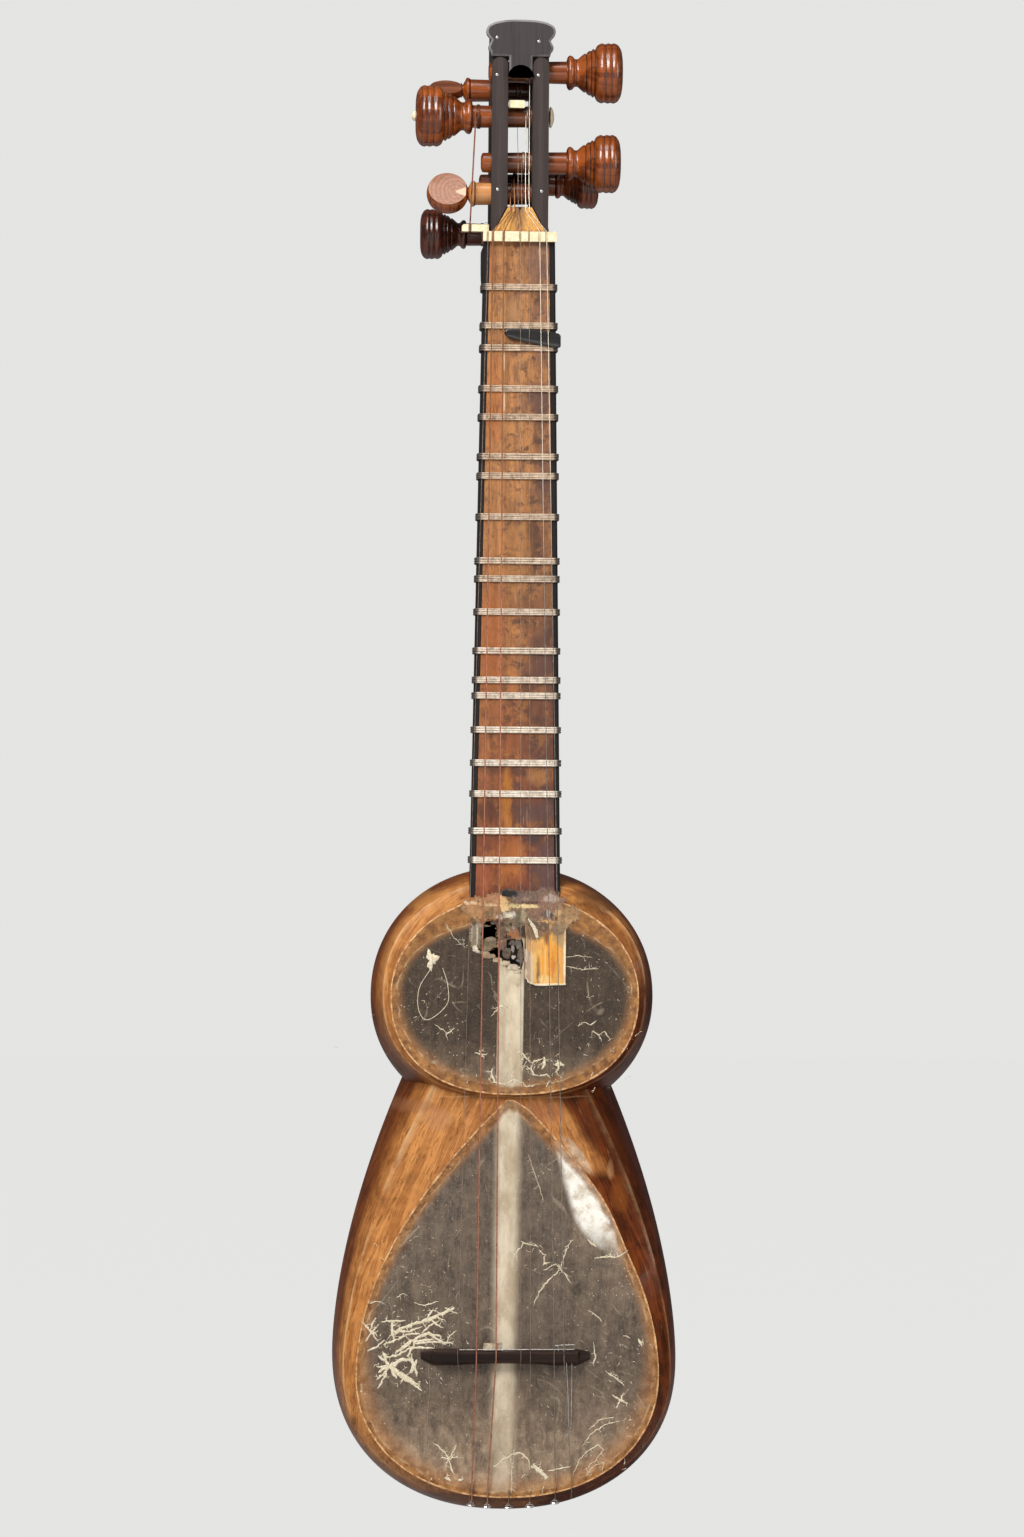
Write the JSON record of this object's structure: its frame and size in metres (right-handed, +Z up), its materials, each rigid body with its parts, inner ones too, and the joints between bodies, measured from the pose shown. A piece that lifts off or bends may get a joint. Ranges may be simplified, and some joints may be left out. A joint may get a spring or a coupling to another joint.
{
  "type": "long-necked plucked lute",
  "caption": "Long-necked plucked lute with a figure-eight wooden body of two skin-covered bowls, tied gut frets, turned side pegs, a low bridge and metal strings.",
  "frame": {"origin": "on the fingerboard face at the nut, on the centre line, where a stand fork or hand holds the head end", "axes": "+Z up along the neck towards the head, -Y out of the front, +X to the right seen from the front"},
  "size_m": [0.1996, 0.17, 0.8593],
  "materials": {
    "dark_wood": "satin, worn, ebony-like",
    "board_wood": "satin, worn and stained walnut",
    "neck_wood": "dark polished wood",
    "bowl_wood": "french-polished mulberry",
    "peg_wood": "turned and polished fruit wood",
    "pale_wood": "raw planed wood",
    "bone": "polished bone",
    "skin": "thin dried membrane",
    "amber_wood": "thin varnished plate",
    "gut": "wound gut",
    "horn": "polished horn",
    "copper": "copper wire",
    "steel": "drawn steel wire"
  },
  "bodies": {
    "body": {"bowl_left": "bowl_wood", "bowl_right": "bowl_wood", "fingerboard": "board_wood", "front_strip_left": "dark_wood", "front_strip_right": "dark_wood", "head_cap": "dark_wood", "neck": "neck_wood", "neck_edge_left": "dark_wood", "neck_edge_right": "dark_wood", "neck_stick": "pale_wood", "nut": "bone", "patch_plate": "amber_wood", "pegbox": "dark_wood", "side_nut": "bone", "skin_lower": "skin", "skin_upper": "skin", "slot_guide": "bone", "string_1": "steel", "string_2": "copper", "string_3": "copper", "string_4": "steel", "string_5": "steel", "string_6": "steel", "string_7": "steel", "string_side": "copper", "tail_eye_1": "steel", "tail_eye_2": "steel", "tail_eye_3": "steel", "tail_eye_4": "steel", "tail_eye_5": "steel"},
    "peg_r1": {"peg_r1": "peg_wood"},
    "peg_r2": {"peg_r2": "peg_wood"},
    "peg_r3": {"peg_r3": "peg_wood"},
    "peg_l1": {"peg_l1": "peg_wood", "peg_l1_button": "bone", "peg_l1_tip": "bone"},
    "peg_l2": {"peg_l2": "peg_wood"},
    "peg_l3": {"peg_l3": "peg_wood"},
    "peg_l4": {"peg_l4": "peg_wood"},
    "fret_01": {"fret_01": "gut"},
    "fret_02": {"fret_02": "gut"},
    "fret_03": {"fret_03": "gut"},
    "fret_04": {"fret_04": "gut"},
    "fret_05": {"fret_05": "gut"},
    "fret_06": {"fret_06": "gut"},
    "fret_07": {"fret_07": "gut"},
    "fret_08": {"fret_08": "gut"},
    "fret_09": {"fret_09": "gut"},
    "fret_10": {"fret_10": "gut"},
    "fret_11": {"fret_11": "gut"},
    "fret_12": {"fret_12": "gut"},
    "fret_13": {"fret_13": "gut"},
    "fret_14": {"fret_14": "gut"},
    "fret_15": {"fret_15": "gut"},
    "fret_16": {"fret_16": "gut"},
    "fret_17": {"fret_17": "gut"},
    "fret_18": {"fret_18": "gut"},
    "fret_19": {"fret_19": "gut"},
    "bridge": {"bridge": "dark_wood"},
    "plectrum": {"plectrum": "horn"}
  },
  "joints": [
    {"name": "peg_r1_turn", "type": "hinge", "parent": "body", "child": "peg_r1", "pos_m": [0, 0.0123, 0.0958], "axis": [1, 0, 0], "continuous": true},
    {"name": "peg_r2_turn", "type": "hinge", "parent": "body", "child": "peg_r2", "pos_m": [0, 0.0123, 0.0437], "axis": [1, 0, 0], "continuous": true},
    {"name": "peg_r3_turn", "type": "hinge", "parent": "body", "child": "peg_r3", "pos_m": [0, 0.042, 0.0346], "axis": [1, 0, 0], "continuous": true},
    {"name": "peg_l1_turn", "type": "hinge", "parent": "body", "child": "peg_l1", "pos_m": [0, 0.0123, 0.0701], "axis": [1, 0, 0], "continuous": true},
    {"name": "peg_l2_turn", "type": "hinge", "parent": "body", "child": "peg_l2", "pos_m": [0, 0.042, 0.0888], "axis": [1, 0, 0], "continuous": true},
    {"name": "peg_l3_turn", "type": "hinge", "parent": "body", "child": "peg_l3", "pos_m": [0, 0.0123, 0.0258], "axis": [1, 0, 0], "continuous": true},
    {"name": "peg_l4_turn", "type": "hinge", "parent": "body", "child": "peg_l4", "pos_m": [0, 0.042, 0.0053], "axis": [1, 0, 0], "continuous": true},
    {"name": "fret_01_shift", "type": "slide", "parent": "body", "child": "fret_01", "axis": [0, 0, 1], "range_m": [-0.002, 0.002]},
    {"name": "fret_02_shift", "type": "slide", "parent": "body", "child": "fret_02", "axis": [0, 0, 1], "range_m": [-0.002, 0.002]},
    {"name": "fret_03_shift", "type": "slide", "parent": "body", "child": "fret_03", "axis": [0, 0, 1], "range_m": [-0.002, 0.002]},
    {"name": "fret_04_shift", "type": "slide", "parent": "body", "child": "fret_04", "axis": [0, 0, 1], "range_m": [-0.002, 0.002]},
    {"name": "fret_05_shift", "type": "slide", "parent": "body", "child": "fret_05", "axis": [0, 0, 1], "range_m": [-0.002, 0.002]},
    {"name": "fret_06_shift", "type": "slide", "parent": "body", "child": "fret_06", "axis": [0, 0, 1], "range_m": [-0.002, 0.002]},
    {"name": "fret_07_shift", "type": "slide", "parent": "body", "child": "fret_07", "axis": [0, 0, 1], "range_m": [-0.002, 0.002]},
    {"name": "fret_08_shift", "type": "slide", "parent": "body", "child": "fret_08", "axis": [0, 0, 1], "range_m": [-0.002, 0.002]},
    {"name": "fret_09_shift", "type": "slide", "parent": "body", "child": "fret_09", "axis": [0, 0, 1], "range_m": [-0.002, 0.002]},
    {"name": "fret_10_shift", "type": "slide", "parent": "body", "child": "fret_10", "axis": [0, 0, 1], "range_m": [-0.002, 0.002]},
    {"name": "fret_11_shift", "type": "slide", "parent": "body", "child": "fret_11", "axis": [0, 0, 1], "range_m": [-0.002, 0.002]},
    {"name": "fret_12_shift", "type": "slide", "parent": "body", "child": "fret_12", "axis": [0, 0, 1], "range_m": [-0.002, 0.002]},
    {"name": "fret_13_shift", "type": "slide", "parent": "body", "child": "fret_13", "axis": [0, 0, 1], "range_m": [-0.002, 0.002]},
    {"name": "fret_14_shift", "type": "slide", "parent": "body", "child": "fret_14", "axis": [0, 0, 1], "range_m": [-0.002, 0.002]},
    {"name": "fret_15_shift", "type": "slide", "parent": "body", "child": "fret_15", "axis": [0, 0, 1], "range_m": [-0.002, 0.002]},
    {"name": "fret_16_shift", "type": "slide", "parent": "body", "child": "fret_16", "axis": [0, 0, 1], "range_m": [-0.002, 0.002]},
    {"name": "fret_17_shift", "type": "slide", "parent": "body", "child": "fret_17", "axis": [0, 0, 1], "range_m": [-0.002, 0.002]},
    {"name": "fret_18_shift", "type": "slide", "parent": "body", "child": "fret_18", "axis": [0, 0, 1], "range_m": [-0.002, 0.002]},
    {"name": "fret_19_shift", "type": "slide", "parent": "body", "child": "fret_19", "axis": [0, 0, 1], "range_m": [-0.002, 0.002]},
    {"name": "bridge_shift", "type": "slide", "parent": "body", "child": "bridge", "axis": [0, 0, 1], "range_m": [-0.003, 0.003]},
    {"name": "plectrum_out", "type": "slide", "parent": "body", "child": "plectrum", "axis": [1, 0, 0], "range_m": [0, 0.06]}
  ]
}
